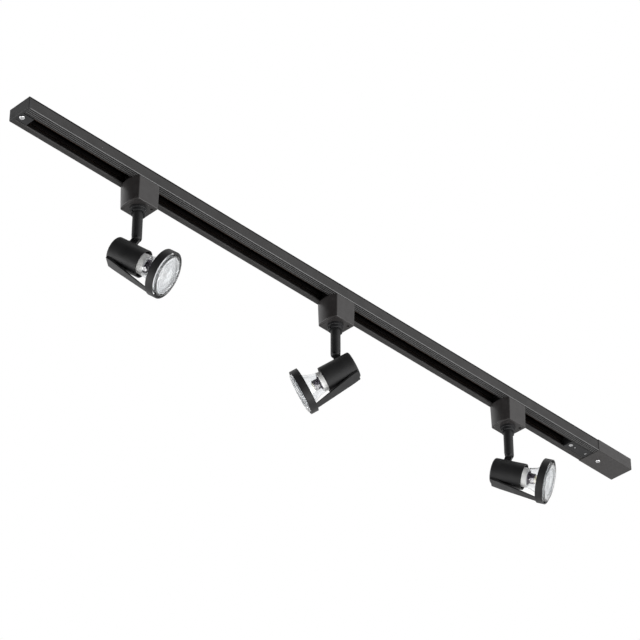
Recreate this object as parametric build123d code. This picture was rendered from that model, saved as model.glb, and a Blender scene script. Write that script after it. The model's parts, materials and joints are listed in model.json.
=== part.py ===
from build123d import *
from math import radians, sin, sqrt
import os

# Track lighting fixture: a surface-mounted track with a live-end feed box and three
# adjustable spotlights.  Millimetres.  The origin is the middle of the track's ceiling
# face, +X runs along the track towards the feed box, +Z points up at the ceiling and
# everything hangs below z = 0.

# ---- driving dimensions: track ----
TRACK_LENGTH = 1000.0
TRACK_WIDTH = 35.0
TRACK_HEIGHT = 17.0
TRACK_WALL = 1.3
TRACK_WEB = 1.5
LIP_THICKNESS = 1.6
SLOT_NEAR_Y = -6.2
SLOT_FAR_Y = 10.0
LIP_STEP = 0.3
LIP_GROOVE_YS = (-15.9, -13.2, -10.5)
LIP_GROOVE_WIDTH = 0.8
LIP_GROOVE_DEPTH = 0.7
LIP_BEVEL = 0.9
TRACK_EDGE_RADIUS = 0.6
CEILING_HOLE_X = 250.0
CEILING_HOLE_R = 2.5

# ---- driving dimensions: what runs inside the track ----
INSULATOR_THICKNESS = 4.1
INSULATOR_TOP_Z = -2.2
INSULATOR_BOTTOM_Z = -14.8
CONDUCTOR_Z = -8.0
CONDUCTOR_HEIGHT = 2.6
CONDUCTOR_THICKNESS = 1.0
GROOVE_HEIGHT = 3.2
GROOVE_DEPTH = 3.0
EARTH_Y = 6.5
EARTH_WIDTH = 3.6
EARTH_THICKNESS = 1.0
GAP = 0.1

# ---- driving dimensions: end cap and live end ----
CAP_PLATE = 2.5
CAP_TONGUE_END_X = -481.5
CAP_TONGUE_WIDTH = 13.4
CAP_SCREW_X = -493.5
BLOCK_HALF_WIDTH = 11.5
BLOCK_TOP_Z = -4.0
FEED_LENGTH = 68.0
FEED_PROUD = 0.6
FEED_WALL = 1.8
FEED_BASE = 2.0
FEED_TONGUE_START_X = 458.7
FEED_TONGUE_WIDTH = 15.4
FEED_SCREW_X = 518.3
CABLE_ENTRY_X = 552.0
CABLE_ENTRY_R = 6.0
TERMINAL_X = 534.0

# ---- driving dimensions: adapter ----
ADAPTER_XS = (-315.0, 14.5, 334.5)
ADAPTER_TOP_Z = -17.3
ADAPTER_BOTTOM_Z = -50.8
ADAPTER_HALF_WIDTH = 17.0
ADAPTER_CHORD_X = -14.3
ADAPTER_BULGE = 4.6
ADAPTER_END_X = 18.4
ADAPTER_DRAFT = 1.7
ADAPTER_CORNER_R = 2.6
ADAPTER_WALL = 2.0
ADAPTER_FLOOR = 2.4
CARRIER_HALF_LENGTH = 14.0
NECK_WIDTH = 14.0
LOCK_TAB_WIDTH = 16.0
LOCK_TAB_HEIGHT = 15.0
LOCK_TAB_THICKNESS = 1.6
LOCK_TAB_TRAVEL = 3.0

# ---- driving dimensions: swivel and stem ----
COLLAR_TOP_R = 10.0
COLLAR_TOP_HEIGHT = 3.5
COLLAR_LOW_R = 9.0
COLLAR_LOW_HEIGHT = 4.0
COLLAR_BORE_R = 6.75
STEM_R = 6.25
STEM_BORE_R = 4.75
STEM_TIP_Z = -99.2
STEM_TIP_RADIUS = 5.0
NIPPLE_R = 5.0
NIPPLE_TOP_Z = -42.0
NIPPLE_BORE_R = 3.0
RUNNING_FIT = 0.05
NUT_ACROSS_FLATS = 15.0
NUT_HEIGHT = 4.0
PIVOT_Z = -95.6
FORK_SLOT = 5.2
FORK_SLOT_FRONT = 5.0
FORK_SLOT_TOP = 5.6
PIVOT_R = 1.5

# ---- driving dimensions: lamp head (u along the aim, w up, from the tilt pivot) ----
AIM = ((-51.0, 33.5), (122.5, 26.0), (-55.0, 19.5))
BARREL_DROP = 25.6
BARREL_R = 17.2
BARREL_WALL = 1.5
BARREL_REAR = -13.8
BARREL_FRONT = 28.5
BARREL_EDGE_R = 2.5
TAB_THICKNESS = 4.8
TAB_R = 4.5
SADDLE_HALF_LENGTH = 5.4
SADDLE_HALF_WIDTH = 4.8
SADDLE_THICKNESS = 0.9
RING_R = 29.2
RING_WALL = 1.3
RING_BACK = 51.8
RING_FRONT = 61.5
STRAP_FOOT_WIDTH = 17.0
STRAP_RING_WIDTH = 9.0
STRAP_THICKNESS = 1.2
STRAP_START = -11.3

# ---- driving dimensions: lamp and its holder (GU10 bayonet, reflector lamp) ----
LAMP_R = 25.4
LAMP_FACE = 63.5
LAMP_RIM = 58.0
LAMP_BASE_REAR = 17.0
LAMP_SHELL_REAR = 34.3
PIN_SPACING = 10.0
PIN_NECK_R = 1.5
PIN_HEAD_R = 2.5
PIN_HEAD_LENGTH = 2.5
PIN_LENGTH = 5.5
HOLDER_FACE = 16.7
HOLDER_PLATE = 2.5
HOLDER_REAR = 0.0
HOLDER_R = 13.4
UNLOCK_TURN = 25.0

os.makedirs("parts", exist_ok=True)


# ---- small helpers ----
def save(node, shape):
    """Write one node: a single solid, or a group of separate solids."""
    solids = shape.solids()
    whole = solids[0] if len(solids) == 1 else Compound(list(solids))
    export_step(whole, f"parts/{node}.step")


def block(x_span, y_span, z_span):
    """Box from its low and high corner along each axis."""
    size = [high - low for low, high in (x_span, y_span, z_span)]
    centre = [(high + low) / 2 for low, high in (x_span, y_span, z_span)]
    return Pos(*centre) * Box(*size)


def post(radius, z_low, z_high, x=0.0, y=0.0):
    """Upright cylinder."""
    return Pos(x, y, (z_low + z_high) / 2) * Cylinder(radius, z_high - z_low)


def along_track(points, x_start, x_end):
    """Extrusion along X of an outline of (y, z) points."""
    outline = Polyline([(x_start, y, z) for y, z in points], close=True)
    return extrude(make_face(outline), amount=x_end - x_start, dir=(1, 0, 0))


def turned_upright(points):
    """Turned piece about Z from (radius, z) points."""
    return revolve(make_face(Polyline([(r, 0, z) for r, z in points], close=True)), Axis.Z)


def turned_along(points):
    """Turned piece about X from (along, radius) points."""
    return revolve(make_face(Polyline([(u, 0, r) for u, r in points], close=True)), Axis.X)


def cross_recess(size, depth):
    """Cross-shaped driver recess cut upwards from z = 0."""
    arm = block((-size, size), (-size / 4, size / 4), (0, depth))
    return arm + Rot(0, 0, 90) * arm


def pan_screw(head_r, head_height, shank_r, shank_length):
    """Cross-head screw whose head is below z = 0 and whose shank points up."""
    head = Pos(0, 0, -head_height / 2) * Cylinder(head_r, head_height)
    head = fillet(head.edges().sort_by(Axis.Z)[0], head_height * 0.6)
    recess = Pos(0, 0, -head_height) * cross_recess(head_r * 0.55, head_height * 0.6)
    return head - recess + post(shank_r, 0, shank_length)


# ---- track ----
SLOT_CENTRE_Y = (SLOT_NEAR_Y + SLOT_FAR_Y) / 2
HALF_WIDTH = TRACK_WIDTH / 2
HALF_LENGTH = TRACK_LENGTH / 2
INNER_Y = HALF_WIDTH - TRACK_WALL
LIP_TOP_Z = -TRACK_HEIGHT + LIP_THICKNESS
TRACK_START_X = -HALF_LENGTH + CAP_PLATE


def side_wall(side):
    """Full-height side of the channel with its two outer edges rounded."""
    y_span = sorted((side * INNER_Y, side * HALF_WIDTH))
    wall = block((TRACK_START_X, HALF_LENGTH), y_span, (-TRACK_HEIGHT, 0))
    outer_edges = wall.edges().filter_by(Axis.X).group_by(Axis.Y)[-(side > 0)]
    return fillet(outer_edges, TRACK_EDGE_RADIUS)


def near_lip():
    """Wider lip, grooved along its underside and stepped up towards the slot."""
    bottom = -TRACK_HEIGHT
    outline = [(-INNER_Y, LIP_TOP_Z), (-INNER_Y, bottom)]
    for y in LIP_GROOVE_YS:
        outline += [
            (y, bottom),
            (y, bottom + LIP_GROOVE_DEPTH),
            (y + LIP_GROOVE_WIDTH, bottom + LIP_GROOVE_DEPTH),
            (y + LIP_GROOVE_WIDTH, bottom),
        ]
    outline += [(SLOT_NEAR_Y, bottom + LIP_STEP), (SLOT_NEAR_Y, LIP_TOP_Z)]
    return along_track(outline, TRACK_START_X, HALF_LENGTH)


def far_lip():
    """Narrower lip with a bevel along the slot."""
    bottom = -TRACK_HEIGHT
    outline = [
        (INNER_Y, LIP_TOP_Z),
        (INNER_Y, bottom),
        (SLOT_FAR_Y + LIP_BEVEL, bottom),
        (SLOT_FAR_Y, bottom + LIP_BEVEL),
        (SLOT_FAR_Y, LIP_TOP_Z),
    ]
    return along_track(outline, TRACK_START_X, HALF_LENGTH)


def track_profile():
    """Channel drawn as web, two sides and two lips that meet face to face."""
    web = block((TRACK_START_X, HALF_LENGTH), (-INNER_Y, INNER_Y), (-TRACK_WEB, 0))
    for x in (-CEILING_HOLE_X, CEILING_HOLE_X):
        web -= post(CEILING_HOLE_R, -TRACK_WEB - 1, 1, x)
    lengths = (web, side_wall(-1), side_wall(1), near_lip(), far_lip())
    return Compound([length.solids()[0] for length in lengths])


def insulator(side):
    """Insulating strip against one side wall, grooved for its conductor."""
    back = INNER_Y - GAP
    face = back - INSULATOR_THICKNESS
    groove_back = face + GROOVE_DEPTH
    low = CONDUCTOR_Z - GROOVE_HEIGHT / 2
    high = CONDUCTOR_Z + GROOVE_HEIGHT / 2
    outline = [
        (back, INSULATOR_BOTTOM_Z),
        (back, INSULATOR_TOP_Z),
        (face, INSULATOR_TOP_Z),
        (face, high),
        (groove_back, high),
        (groove_back, low),
        (face, low),
        (face, INSULATOR_BOTTOM_Z),
    ]
    return along_track([(side * y, z) for y, z in outline], TRACK_START_X, HALF_LENGTH)


CONDUCTOR_BACK_Y = INNER_Y - GAP - INSULATOR_THICKNESS + GROOVE_DEPTH
CONDUCTOR_FACE_Y = CONDUCTOR_BACK_Y - CONDUCTOR_THICKNESS
CONDUCTOR_X = (TRACK_START_X + 6, HALF_LENGTH - 3)


def conductor(side):
    y_span = sorted((side * CONDUCTOR_FACE_Y, side * CONDUCTOR_BACK_Y))
    z_span = (CONDUCTOR_Z - CONDUCTOR_HEIGHT / 2, CONDUCTOR_Z + CONDUCTOR_HEIGHT / 2)
    return block(CONDUCTOR_X, y_span, z_span)


def earth_conductor():
    y_span = (EARTH_Y - EARTH_WIDTH / 2, EARTH_Y + EARTH_WIDTH / 2)
    return block(CONDUCTOR_X, y_span, (-TRACK_WEB - EARTH_THICKNESS, -TRACK_WEB))


save("track_profile", track_profile())
save("insulator_near", insulator(-1))
save("insulator_far", insulator(1))
save("live_conductor", conductor(-1))
save("neutral_conductor", conductor(1))
save("earth_conductor", earth_conductor())


# ---- dead end cap ----
SCREW_HOLE_R = 1.3
CAP_SCREW_HEAD_R = 3.2
CAP_SCREW_HEAD_HEIGHT = 1.2
BLOCK_BOTTOM_Z = LIP_TOP_Z + 0.2


def tongue(x_span, width):
    """Insert that fills the slot flush with the lips."""
    y_span = (SLOT_CENTRE_Y - width / 2, SLOT_CENTRE_Y + width / 2)
    return block(x_span, y_span, (-TRACK_HEIGHT, BLOCK_BOTTOM_Z))


def end_cap():
    plate = block((-HALF_LENGTH, TRACK_START_X), (-HALF_WIDTH, HALF_WIDTH), (-TRACK_HEIGHT, 0))
    plate = fillet(plate.edges().filter_by(Axis.X), TRACK_EDGE_RADIUS)
    plate = fillet(plate.faces().sort_by(Axis.X)[0].edges(), TRACK_EDGE_RADIUS)
    lips = tongue((TRACK_START_X, CAP_TONGUE_END_X), CAP_TONGUE_WIDTH)
    inner = block(
        (TRACK_START_X, CAP_TONGUE_END_X),
        (-BLOCK_HALF_WIDTH, BLOCK_HALF_WIDTH),
        (BLOCK_BOTTOM_Z, BLOCK_TOP_Z),
    )
    cap = plate + lips + inner
    cap -= post(
        CAP_SCREW_HEAD_R + GAP,
        -TRACK_HEIGHT - 1,
        -TRACK_HEIGHT + CAP_SCREW_HEAD_HEIGHT / 2,
        CAP_SCREW_X,
        SLOT_CENTRE_Y,
    )
    return cap - post(SCREW_HOLE_R, -TRACK_HEIGHT, -6, CAP_SCREW_X, SLOT_CENTRE_Y)


def end_cap_screw():
    screw = pan_screw(CAP_SCREW_HEAD_R, CAP_SCREW_HEAD_HEIGHT, SCREW_HOLE_R - GAP / 2, 9)
    return Pos(CAP_SCREW_X, SLOT_CENTRE_Y, -TRACK_HEIGHT + CAP_SCREW_HEAD_HEIGHT / 2) * screw


save("end_cap", end_cap())
save("end_cap_screw", end_cap_screw())


# ---- live end: feed box, tongue into the track, terminals ----
FEED_START_X = HALF_LENGTH
FEED_END_X = HALF_LENGTH + FEED_LENGTH
FEED_HALF_WIDTH = HALF_WIDTH + FEED_PROUD
FEED_BOTTOM_Z = -TRACK_HEIGHT - FEED_PROUD
LINK_HALF_WIDTH = 9.0
LINK_Z = (-14.0, -5.0)
LINK_END_X = TERMINAL_X - 8.0
TERMINAL_HALF_WIDTH = 11.0
TERMINAL_YS = (-7.0, 0.0, 7.0)
TONGUE_SCREWS = ((465.1, 3.0), (473.5, 1.4), (494.7, 1.6))


def feed_base():
    inset = FEED_WALL + GAP
    base = block(
        (FEED_START_X + inset, FEED_END_X - inset),
        (-FEED_HALF_WIDTH + inset, FEED_HALF_WIDTH - inset),
        (-FEED_BASE, 0),
    )
    pillar_low = LINK_Z[1] + 0.5
    base += post(4.0, pillar_low, -FEED_BASE, FEED_SCREW_X, 0)
    base -= post(CABLE_ENTRY_R, -FEED_BASE - 1, 1, CABLE_ENTRY_X)
    return base - post(SCREW_HOLE_R, pillar_low - 1, -FEED_BASE + 1, FEED_SCREW_X)


def feed_cover():
    x_span = (FEED_START_X, FEED_END_X)
    cover = block(x_span, (-FEED_HALF_WIDTH, FEED_HALF_WIDTH), (FEED_BOTTOM_Z, 0))
    cover = fillet(cover.edges().filter_by(Axis.X).group_by(Axis.Z)[0], 1.0)
    cover = fillet(cover.faces().sort_by(Axis.X)[-1].edges().filter_by(Axis.Z), 1.0)
    cover -= block(
        (FEED_START_X + FEED_WALL, FEED_END_X - FEED_WALL),
        (-FEED_HALF_WIDTH + FEED_WALL, FEED_HALF_WIDTH - FEED_WALL),
        (FEED_BOTTOM_Z + FEED_WALL, 1),
    )
    cover -= block(
        (FEED_START_X - 1, FEED_START_X + FEED_WALL + 1),
        (-LINK_HALF_WIDTH - 0.3, LINK_HALF_WIDTH + 0.3),
        (LINK_Z[0] - 0.3, LINK_Z[1] + 0.3),
    )
    return cover - post(SCREW_HOLE_R + 0.3, FEED_BOTTOM_Z - 1, -10, FEED_SCREW_X)


def feed_cover_screw():
    screw = pan_screw(3.1, 1.4, SCREW_HOLE_R - GAP / 2, 14.5)
    return Pos(FEED_SCREW_X, 0, FEED_BOTTOM_Z) * screw


def feed_tongue():
    lips = tongue((FEED_TONGUE_START_X, FEED_START_X - GAP), FEED_TONGUE_WIDTH)
    inner = block(
        (FEED_TONGUE_START_X, FEED_START_X - GAP),
        (-BLOCK_HALF_WIDTH, BLOCK_HALF_WIDTH),
        (BLOCK_BOTTOM_Z, BLOCK_TOP_Z),
    )
    link = block((FEED_START_X - 1, LINK_END_X), (-LINK_HALF_WIDTH, LINK_HALF_WIDTH), LINK_Z)
    piece = lips + inner + link
    for x, radius in TONGUE_SCREWS:
        piece -= post(radius + GAP, -TRACK_HEIGHT - 1, -TRACK_HEIGHT + 1.2, x, SLOT_CENTRE_Y)
        piece -= post(1.0, -TRACK_HEIGHT, -9, x, SLOT_CENTRE_Y)
    return piece - post(SCREW_HOLE_R + 0.2, LINK_Z[0] - 1, LINK_Z[1] + 1, FEED_SCREW_X)


def feed_tongue_screws():
    screws = []
    for x, radius in TONGUE_SCREWS:
        screw = pan_screw(radius, 1.0, 0.9, 6.5)
        screws.append(Pos(x, SLOT_CENTRE_Y, -TRACK_HEIGHT + 1.2) * screw)
    return Compound(screws)


def feed_terminal_block():
    body = block(
        (LINK_END_X, TERMINAL_X + 6),
        (-TERMINAL_HALF_WIDTH, TERMINAL_HALF_WIDTH),
        (-13.0, -FEED_BASE),
    )
    for y in TERMINAL_YS:
        body -= Pos(TERMINAL_X + 4, y, -6) * Rot(0, 90, 0) * Cylinder(1.8, 12)
        body -= post(1.9, -14, -8, TERMINAL_X, y)
        body -= post(1.05, -9, -5, TERMINAL_X, y)
    return body


def feed_terminal_screws():
    screws = []
    for y in TERMINAL_YS:
        screw = post(1.7, -12.0, -9.0, TERMINAL_X, y) + post(1.0, -9.0, -5.2, TERMINAL_X, y)
        screw -= block((TERMINAL_X - 2, TERMINAL_X + 2), (y - 0.3, y + 0.3), (-12.1, -11.2))
        screws.append(screw)
    return Compound(screws)


save("feed_base", feed_base())
save("feed_cover", feed_cover())
save("feed_cover_screw", feed_cover_screw())
save("feed_tongue", feed_tongue())
save("feed_tongue_screws", feed_tongue_screws())
save("feed_terminal_block", feed_terminal_block())
save("feed_terminal_screws", feed_terminal_screws())


# ---- adapter: housing, carrier in the track, contacts and lock tab, about its own centre ----
TAB_X = (ADAPTER_END_X - 2.3, ADAPTER_END_X - 2.3 + LOCK_TAB_THICKNESS)
TAB_TOP_Z = ADAPTER_TOP_Z - 3.0
TAB_SPAN_Z = (TAB_TOP_Z - LOCK_TAB_HEIGHT, TAB_TOP_Z)
TAB_SPAN_Y = (-LOCK_TAB_WIDTH / 2, LOCK_TAB_WIDTH / 2)
HOOK_SPAN_Y = (SLOT_CENTRE_Y - 4.5, SLOT_CENTRE_Y + 4.5)
TAB_CLEARANCE = 0.3


def adapter_outline(shrink):
    """D-shaped plan: three flat sides and one bowed end, drawn in by shrink."""
    half = ADAPTER_HALF_WIDTH - shrink
    chord = ADAPTER_CHORD_X + shrink / 2
    bow = chord - ADAPTER_BULGE
    end = ADAPTER_END_X - shrink
    sides = Polyline((chord, -half), (end, -half), (end, half), (chord, half))
    arc = ThreePointArc((chord, half), (bow, 0), (chord, -half))
    plan = make_face(sides + arc)
    return fillet(plan.vertices(), max(ADAPTER_CORNER_R - shrink, 0.6))


def adapter_block(shrink, z_top, z_bottom):
    plan = Pos(0, 0, z_top) * adapter_outline(shrink)
    return extrude(plan, amount=z_top - z_bottom, dir=(0, 0, -1), taper=ADAPTER_DRAFT)


def adapter_housing():
    shell = adapter_block(0, ADAPTER_TOP_Z, ADAPTER_BOTTOM_Z)
    shell = fillet(shell.faces().sort_by(Axis.Z)[0].edges(), 1.0)
    shell -= adapter_block(ADAPTER_WALL, ADAPTER_TOP_Z + 0.01, ADAPTER_BOTTOM_Z + ADAPTER_FLOOR)
    shell += block(
        (TAB_X[0] - 1.9, TAB_X[0] + 0.6),
        (TAB_SPAN_Y[0] - 1.6, TAB_SPAN_Y[1] + 1.6),
        (TAB_SPAN_Z[0] - LOCK_TAB_TRAVEL - 2.0, ADAPTER_TOP_Z - 2.2),
    )
    shell -= block(
        (TAB_X[0] - 0.1, ADAPTER_END_X + 1),
        (TAB_SPAN_Y[0] - TAB_CLEARANCE, TAB_SPAN_Y[1] + TAB_CLEARANCE),
        (TAB_SPAN_Z[0] - LOCK_TAB_TRAVEL - TAB_CLEARANCE, ADAPTER_TOP_Z + 1),
    )
    shell -= post(NIPPLE_R + RUNNING_FIT, ADAPTER_BOTTOM_Z - 1, ADAPTER_BOTTOM_Z + 5)
    shell -= block(
        (ADAPTER_CHORD_X + 0.6, ADAPTER_CHORD_X + 1.0),
        (-ADAPTER_HALF_WIDTH, ADAPTER_HALF_WIDTH),
        (ADAPTER_BOTTOM_Z - 1, ADAPTER_BOTTOM_Z + 0.5),
    )
    return shell - post(1.7, ADAPTER_BOTTOM_Z - 1, ADAPTER_BOTTOM_Z + 1.4, 11.6, -10.4)


def adapter_carrier():
    """Plate that closes the housing, neck through the slot and shoulders over the lips."""
    lid = adapter_block(ADAPTER_WALL + GAP, ADAPTER_TOP_Z, ADAPTER_TOP_Z - 2.0)
    lid -= block(
        (TAB_X[0] - 2.1, ADAPTER_END_X),
        (TAB_SPAN_Y[0] - 1.8, TAB_SPAN_Y[1] + 1.8),
        (ADAPTER_TOP_Z - 3, ADAPTER_TOP_Z + 1),
    )
    x_span = (-CARRIER_HALF_LENGTH, CARRIER_HALF_LENGTH)
    neck = block(
        x_span,
        (SLOT_CENTRE_Y - NECK_WIDTH / 2, SLOT_CENTRE_Y + NECK_WIDTH / 2),
        (ADAPTER_TOP_Z, BLOCK_BOTTOM_Z),
    )
    shoulders = block(
        x_span, (-BLOCK_HALF_WIDTH, BLOCK_HALF_WIDTH), (BLOCK_BOTTOM_Z, BLOCK_TOP_Z)
    )
    shoulders = fillet(shoulders.edges().filter_by(Axis.Z), 2.0)
    piece = lid + neck + shoulders
    for x, y_span in contact_seats():
        piece -= block((x - 3.4, x + 3.4), y_span, (CONDUCTOR_Z - 1.0, CONDUCTOR_Z + 1.0))
    piece -= block(
        (-3.4, 3.4), (EARTH_Y - 1.3, EARTH_Y + 1.3), (BLOCK_TOP_Z - 3.1, BLOCK_TOP_Z + 1)
    )
    return piece - post(3.0, ADAPTER_TOP_Z - 3, BLOCK_TOP_Z - 4)


def contact_seats():
    """Place along X and pocket across Y of each side contact."""
    edge = BLOCK_HALF_WIDTH
    return ((-6.5, (-edge - 1, -edge + 3.3)), (6.5, (edge - 3.3, edge + 1)))


def adapter_contacts():
    """Live, neutral and earth contact blades, each a separate piece."""
    reach = CONDUCTOR_FACE_Y - 0.2
    blades = []
    for side, x in ((-1, -6.5), (1, 6.5)):
        y_span = sorted((side * (BLOCK_HALF_WIDTH - 2.9), side * reach))
        blade = block((x - 3, x + 3), y_span, (CONDUCTOR_Z - 0.8, CONDUCTOR_Z + 0.8))
        blades.append(fillet(blade.edges().filter_by(Axis.Z).group_by(Axis.Y)[-(side > 0)], 1.5))
    earth_top = -TRACK_WEB - EARTH_THICKNESS - 0.2
    blades.append(block((-3, 3), (EARTH_Y - 1, EARTH_Y + 1), (BLOCK_TOP_Z - 2.9, earth_top)))
    return Compound(blades)


def lock_tab():
    """Spring latch on the flat end: a finger pad below, a hook that stands in the slot."""
    pad = block(TAB_X, TAB_SPAN_Y, TAB_SPAN_Z)
    pad = fillet(pad.edges().filter_by(Axis.X), 2.0)
    rib_z = TAB_SPAN_Z[0] + 3.0
    rib = block((TAB_X[1], TAB_X[1] + 1.2), (-6, 6), (rib_z, rib_z + 1.6))
    hook = block(TAB_X, HOOK_SPAN_Y, (TAB_SPAN_Z[1] - 4, LIP_TOP_Z + 0.3))
    return pad + rib + hook


# ---- swivel collar and stem, about the stem's axis ----
COLLAR_TOP_Z = ADAPTER_BOTTOM_Z
COLLAR_STEP_Z = COLLAR_TOP_Z - COLLAR_TOP_HEIGHT
COLLAR_BOTTOM_Z = COLLAR_STEP_Z - COLLAR_LOW_HEIGHT
STEM_TOP_Z = COLLAR_STEP_Z - 0.9
NUT_BOTTOM_Z = ADAPTER_BOTTOM_Z + ADAPTER_FLOOR + 0.2


def swivel_collar():
    """Stepped collar under the housing, with the stop tab that limits the turn."""
    outline = [
        (NIPPLE_R + RUNNING_FIT, COLLAR_TOP_Z),
        (COLLAR_TOP_R, COLLAR_TOP_Z),
        (COLLAR_TOP_R, COLLAR_STEP_Z + 0.4),
        (COLLAR_TOP_R - 0.4, COLLAR_STEP_Z),
        (COLLAR_LOW_R, COLLAR_STEP_Z),
        (COLLAR_LOW_R, COLLAR_BOTTOM_Z + 0.4),
        (COLLAR_LOW_R - 0.4, COLLAR_BOTTOM_Z),
        (COLLAR_BORE_R, COLLAR_BOTTOM_Z),
        (COLLAR_BORE_R, COLLAR_STEP_Z - 0.5),
        (NIPPLE_R + RUNNING_FIT, COLLAR_STEP_Z - 0.5),
    ]
    collar = turned_upright(outline)
    stop = block(
        (COLLAR_LOW_R - 1.0, COLLAR_LOW_R + 1.2),
        (-1.5, 1.5),
        (COLLAR_BOTTOM_Z - 0.8, COLLAR_STEP_Z + 0.5),
    )
    notch = block(
        (-COLLAR_LOW_R - 1, -COLLAR_BORE_R + 0.2),
        (-1.0, 1.0),
        (COLLAR_BOTTOM_Z - 1, COLLAR_BOTTOM_Z + 1.6),
    )
    return collar + stop - notch


def stem():
    """Tube with a shouldered nipple above and a rounded fork below, slotted down and back."""
    outline = [
        (NIPPLE_BORE_R, NIPPLE_TOP_Z),
        (NIPPLE_R - 0.5, NIPPLE_TOP_Z),
        (NIPPLE_R, NIPPLE_TOP_Z - 0.5),
        (NIPPLE_R, STEM_TOP_Z),
        (STEM_R, STEM_TOP_Z),
        (STEM_R, STEM_TIP_Z),
        (0, STEM_TIP_Z),
        (0, PIVOT_Z + 11),
        (STEM_BORE_R, PIVOT_Z + 11),
        (STEM_BORE_R, STEM_TOP_Z - 3),
        (NIPPLE_BORE_R, STEM_TOP_Z - 3),
    ]
    body = turned_upright(outline)
    body = fillet(body.edges().filter_by(GeomType.CIRCLE).sort_by(Axis.Z)[0], STEM_TIP_RADIUS)
    body -= block(
        (-STEM_R - 1, FORK_SLOT_FRONT),
        (-FORK_SLOT / 2, FORK_SLOT / 2),
        (STEM_TIP_Z - 1, PIVOT_Z + FORK_SLOT_TOP),
    )
    body -= post(1.8, PIVOT_Z, PIVOT_Z + 13)
    pin_hole = Pos(0, 0, PIVOT_Z) * Rot(90, 0, 0) * Cylinder(PIVOT_R, 2 * STEM_R + 2)
    return body - pin_hole


def stem_nut():
    """Hexagon nut that holds the stem in the housing."""
    plan = Pos(0, 0, NUT_BOTTOM_Z) * RegularPolygon(NUT_ACROSS_FLATS / 2, 6, major_radius=False)
    nut = extrude(plan, amount=NUT_HEIGHT, dir=(0, 0, 1))
    return nut - post(NIPPLE_R, NUT_BOTTOM_Z - 1, NUT_BOTTOM_Z + 6)


def pivot_screw():
    """Tilt pin across the fork, its slotted head just inside the stem's outline."""
    half_length = sqrt(STEM_R ** 2 - PIVOT_R ** 2) - 0.4
    pin = Rot(90, 0, 0) * Cylinder(PIVOT_R, 2 * half_length)
    slot = block((-0.25, 0.25), (half_length - 0.7, half_length + 1), (-2, 2))
    return Pos(0, 0, PIVOT_Z) * (pin - slot)


# ---- lamp head, drawn with its tilt pivot at the origin and its aim along +X ----
def on_barrel_axis(shape):
    return Pos(0, 0, -BARREL_DROP) * shape


def knuckle():
    """Tab that hangs on the tilt pin and spreads into a saddle on the barrel."""
    saddle_top = -BARREL_DROP + BARREL_R + SADDLE_THICKNESS
    foot = saddle_top + 0.2
    tab = Rot(90, 0, 0) * Cylinder(TAB_R, TAB_THICKNESS)
    tab += block((-TAB_R, TAB_R), (-TAB_THICKNESS / 2, TAB_THICKNESS / 2), (foot - 0.6, 0))
    saddle = block(
        (-SADDLE_HALF_LENGTH, SADDLE_HALF_LENGTH),
        (-SADDLE_HALF_WIDTH, SADDLE_HALF_WIDTH),
        (-BARREL_DROP, 0),
    )
    saddle = fillet(saddle.edges().filter_by(Axis.Z), 3.0)
    saddle &= on_barrel_axis(Rot(0, 90, 0) * Cylinder(BARREL_R + SADDLE_THICKNESS, 60))
    piece = tab + saddle
    piece -= on_barrel_axis(Rot(0, 90, 0) * Cylinder(BARREL_R + 0.02, 60))
    return piece - Rot(90, 0, 0) * Cylinder(PIVOT_R + RUNNING_FIT, 20)


def barrel():
    """Cup that holds the lampholder: closed behind, open in front."""
    inner = BARREL_R - BARREL_WALL
    cup = turned_along(
        [
            (BARREL_REAR, 0),
            (BARREL_REAR, BARREL_R),
            (BARREL_FRONT, BARREL_R),
            (BARREL_FRONT, inner),
            (BARREL_REAR + BARREL_WALL, inner),
            (BARREL_REAR + BARREL_WALL, 0),
        ]
    )
    rear_edge = cup.edges().filter_by(GeomType.CIRCLE).group_by(Axis.X)[0]
    return on_barrel_axis(fillet(rear_edge, BARREL_EDGE_R))


def ring_bracket():
    """Front ring carried by a flat strap from the barrel's underside."""
    ring = turned_along(
        [
            (RING_BACK, RING_R - RING_WALL),
            (RING_BACK, RING_R),
            (RING_FRONT, RING_R),
            (RING_FRONT, RING_R - RING_WALL),
        ]
    )
    end = RING_BACK + 1
    side = [
        (STRAP_START, -BARREL_R + 2.4),
        (STRAP_START, -BARREL_R - 0.9),
        (end, -RING_R + 0.3),
        (end, -RING_R + 0.3 + STRAP_THICKNESS),
        (STRAP_START + 14, -BARREL_R - 1.2),
        (STRAP_START + 6, -BARREL_R + 2.4),
    ]
    foot, tip = STRAP_FOOT_WIDTH / 2, STRAP_RING_WIDTH / 2
    outline = make_face(Polyline([(u, -foot, w) for u, w in side], close=True))
    strap = extrude(outline, amount=STRAP_FOOT_WIDTH, dir=(0, 1, 0))
    plan = Polyline((STRAP_START, -foot), (0, -foot), (end, -tip), (end, tip), (0, foot),
                    (STRAP_START, foot), close=True)
    strap &= extrude(make_face(plan), amount=RING_R, dir=(0, 0, -1))
    strap -= Rot(0, 90, 0) * Cylinder(BARREL_R + 0.02, 2 * RING_BACK)
    return on_barrel_axis(ring + strap)


def keyhole():
    """Bayonet slot: narrow where the pin locks, wide where its head goes in."""
    radius = PIN_SPACING / 2
    neck = PIN_NECK_R + 0.3
    middle = Rot(UNLOCK_TURN / 2, 0, 0) * Pos(0, radius, 0)
    turn = 2 * radius * sin(radians(UNLOCK_TURN / 2))
    slot = middle * block((-1, HOLDER_PLATE + 1), (-neck, neck), (-turn / 2, turn / 2))
    depth = HOLDER_PLATE + 2
    for angle, width in ((0, neck), (UNLOCK_TURN, PIN_HEAD_R + 0.3)):
        end = Rot(angle, 0, 0) * Pos(depth / 2 - 1, radius, 0)
        slot += end * Rot(0, 90, 0) * Cylinder(width, depth)
    return slot


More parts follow.
